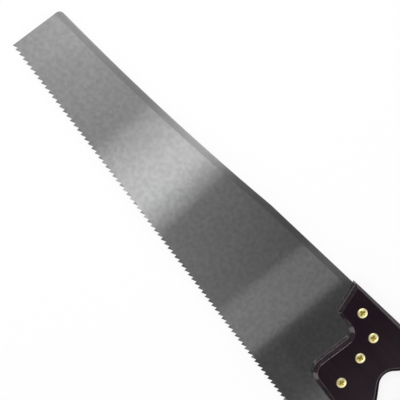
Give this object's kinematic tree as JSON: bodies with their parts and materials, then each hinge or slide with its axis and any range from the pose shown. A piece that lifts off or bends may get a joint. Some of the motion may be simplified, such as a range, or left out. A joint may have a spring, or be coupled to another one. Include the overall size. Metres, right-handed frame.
{
  "type": "handsaw",
  "caption": "Handsaw with a tapered, skew-backed steel blade, coarse set teeth, a ground strip along the back, and a closed dark wooden handle held by brass screws.",
  "frame": {"origin": "middle of the saw's length and width, on the plane that its lower cheek lies on", "axes": "the saw lies on its side: +X along the tooth line from the toe to the handle, +Y from the teeth to the back, +Z square to the blade, up through the cheek that shows the screw heads"},
  "size_m": [0.671, 0.1806, 0.0229],
  "materials": {
    "steel": "satin, polished along the length",
    "dark_wood": "dark stain under gloss varnish",
    "brass": "polished"
  },
  "bodies": {
    "root": {"blade": "steel", "handle": "dark_wood", "saw_screw_1": "brass", "saw_screw_2": "brass", "saw_screw_3": "brass", "saw_screw_4": "brass", "saw_nut_1": "brass", "saw_nut_2": "brass", "saw_nut_3": "brass", "saw_nut_4": "brass"}
  },
  "joints": []
}
